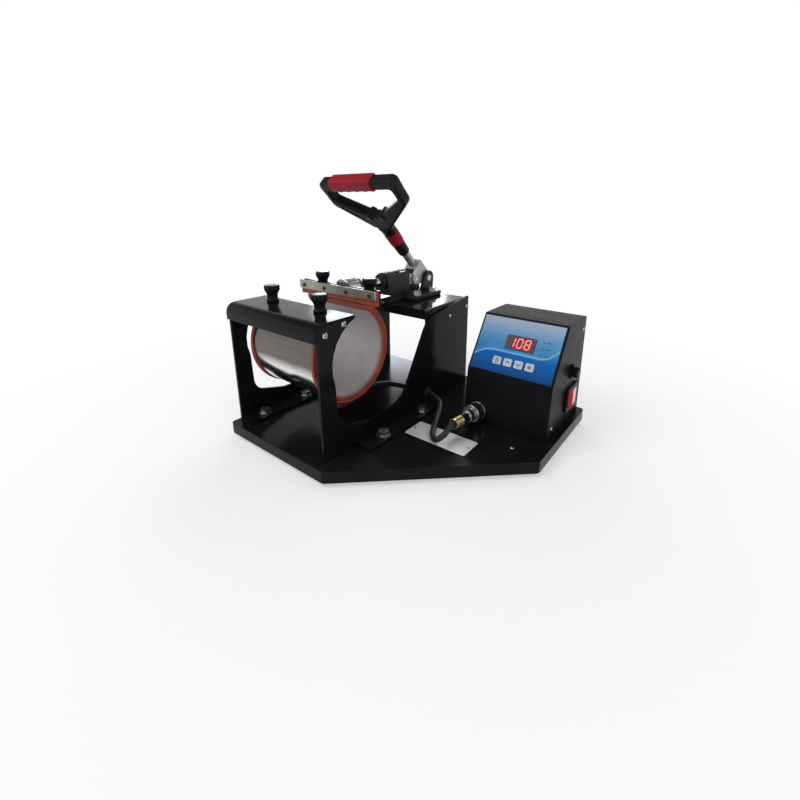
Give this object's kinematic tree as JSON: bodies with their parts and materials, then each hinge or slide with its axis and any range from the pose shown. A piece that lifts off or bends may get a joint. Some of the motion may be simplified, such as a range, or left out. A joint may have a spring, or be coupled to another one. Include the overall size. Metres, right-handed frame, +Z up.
{
  "type": "mug heat press",
  "caption": "Mug press with a heated wrap in a sheet-metal bracket, a push-pull toggle clamp with a D-shaped handle, and a slope-fronted control box on a cut-cornered base.",
  "frame": {"origin": "on the table, at the centre of the bounding box's bottom face", "axes": "+Z up; -Y is the side with the front cover; +X points from the press to the control box; the mug lies along X"},
  "size_m": [0.29, 0.262, 0.2763],
  "materials": {
    "black_paint": "gloss black powder coat",
    "casting_black": "satin black enamel on a casting",
    "steel": "plated steel",
    "polished_rod": "bright ground rod",
    "strip_metal": "satin champagne",
    "spring_wire": "bright gold-coloured wire",
    "dark_nut": "blackened steel",
    "red_rubber": "red silicone, satin",
    "terminal_rubber": "dark moulded rubber",
    "foot_rubber": "matt black rubber",
    "cable_sheath": "matt black sheath",
    "black_plastic": "moulded black, satin",
    "panel_film": "blue printed film",
    "display_plastic": "dark red window",
    "button_plastic": "pale satin plastic",
    "rocker_plastic": "red translucent plastic",
    "board_laminate": "green board laminate"
  },
  "bodies": {
    "frame": {"base_plate": "black_paint", "box_shell": "black_paint", "cable_gland": "black_plastic", "clamp_bolt_front_left": "steel", "clamp_bolt_front_right": "steel", "clamp_bolt_rear_left": "steel", "clamp_bolt_rear_right": "steel", "clamp_casting": "casting_black", "control_board": "board_laminate", "display_window": "display_plastic", "foot_front_left": "foot_rubber", "foot_front_right": "foot_rubber", "foot_rear_left": "foot_rubber", "foot_rear_right": "foot_rubber", "front_cover": "black_paint", "front_strip": "steel", "fuse_holder": "black_plastic", "heater_cable": "cable_sheath", "heater_edge_left": "red_rubber", "heater_edge_right": "red_rubber", "heater_mat": "red_rubber", "heater_shell": "steel", "heater_socket": "steel", "label_panel": "panel_film", "lead_spring": "spring_wire", "pivot_pin": "steel", "plate_bolt_left_front": "steel", "plate_bolt_left_rear": "steel", "plate_bolt_right_front": "steel", "plate_bolt_right_rear": "steel", "plug_body": "steel", "rear_top_plate": "black_paint", "side_plate_left": "black_paint", "side_plate_right": "black_paint", "switch_frame": "black_plastic", "terminal_cover": "terminal_rubber"},
    "clamp": {"rear_strip": "strip_metal", "clamp_flap": "red_rubber", "rear_holder": "steel", "plunger_yoke": "steel", "plunger_rod": "polished_rod", "plunger_pin": "steel"},
    "handle": {"handle_lever": "steel", "handle_body": "black_plastic", "handle_grip": "red_rubber", "handle_band": "red_rubber", "link_pin": "steel"},
    "link": {"toggle_link": "steel"},
    "pressure_nut": {"lock_nut": "dark_nut"},
    "knob_front_left": {"front_knob_left": "black_plastic"},
    "knob_front_right": {"front_knob_right": "black_plastic"},
    "knob_rear_left": {"rear_knob_left": "black_plastic"},
    "knob_rear_right": {"rear_knob_right": "black_plastic"},
    "connector_ring": {"plug_ring": "steel"},
    "switch_rocker": {"rocker": "rocker_plastic"},
    "fuse_carrier": {"fuse_cap": "black_plastic"},
    "key_1": {"button_1": "button_plastic"},
    "key_2": {"button_2": "button_plastic"},
    "key_3": {"button_3": "button_plastic"},
    "key_4": {"button_4": "button_plastic"}
  },
  "joints": [
    {"name": "handle_swing", "type": "hinge", "parent": "frame", "child": "handle", "pos_m": [-0.0765, 0.118, 0.146], "axis": [1, 0, 0], "range_deg": [-60, 0]},
    {"name": "clamp_slide", "type": "slide", "parent": "frame", "child": "clamp", "axis": [0, 1, 0], "range_m": [0, 0.0163], "deforming": ["heater_mat", "heater_shell", "heater_edge_left", "heater_edge_right"]},
    {"name": "link_swing", "type": "hinge", "parent": "handle", "child": "link", "pos_m": [-0.0765, 0.09603, 0.14715], "axis": [1, 0, 0], "range_deg": [0, 103.2]},
    {"name": "pressure_nut_turn", "type": "hinge", "parent": "clamp", "child": "pressure_nut", "pos_m": [-0.0765, -0.0037, 0.151], "axis": [0, 1, 0], "continuous": true},
    {"name": "connector_ring_turn", "type": "hinge", "parent": "frame", "child": "connector_ring", "pos_m": [0.061, 0.02684, 0.02792], "axis": [0, -0.9951, 0.0988], "continuous": true},
    {"name": "rocker_tilt", "type": "hinge", "parent": "frame", "child": "switch_rocker", "pos_m": [0.1373, 0.0985, 0.0415], "axis": [0, 0, 1], "range_deg": [-18, 0]},
    {"name": "fuse_cap_turn", "type": "hinge", "parent": "frame", "child": "fuse_carrier", "pos_m": [0.1373, 0.096, 0.071], "axis": [1, 0, 0], "continuous": true},
    {"name": "front_knob_left_turn", "type": "hinge", "parent": "frame", "child": "knob_front_left", "pos_m": [-0.1125, -0.088, 0.15], "axis": [0, 0, 1], "continuous": true},
    {"name": "rear_knob_left_turn", "type": "hinge", "parent": "clamp", "child": "knob_rear_left", "pos_m": [-0.1125, -0.0207, 0.155], "axis": [0, 0, 1], "continuous": true},
    {"name": "front_knob_right_turn", "type": "hinge", "parent": "frame", "child": "knob_front_right", "pos_m": [-0.0405, -0.088, 0.15], "axis": [0, 0, 1], "continuous": true},
    {"name": "rear_knob_right_turn", "type": "hinge", "parent": "clamp", "child": "knob_rear_right", "pos_m": [-0.0405, -0.0207, 0.155], "axis": [0, 0, 1], "continuous": true},
    {"name": "button_1_press", "type": "slide", "parent": "frame", "child": "key_1", "axis": [0, 0.8337, -0.5522], "range_m": [0, 0.0008], "stiffness_N_per_m": 400},
    {"name": "button_2_press", "type": "slide", "parent": "frame", "child": "key_2", "axis": [0, 0.8337, -0.5522], "range_m": [0, 0.0008], "stiffness_N_per_m": 400},
    {"name": "button_3_press", "type": "slide", "parent": "frame", "child": "key_3", "axis": [0, 0.8337, -0.5522], "range_m": [0, 0.0008], "stiffness_N_per_m": 400},
    {"name": "button_4_press", "type": "slide", "parent": "frame", "child": "key_4", "axis": [0, 0.8337, -0.5522], "range_m": [0, 0.0008], "stiffness_N_per_m": 400}
  ],
  "couplings": [
    {"joint": "clamp_slide", "follows": "handle_swing", "m_per_rad": -0.015454},
    {"joint": "link_swing", "follows": "handle_swing", "ratio": -1.7113}
  ]
}
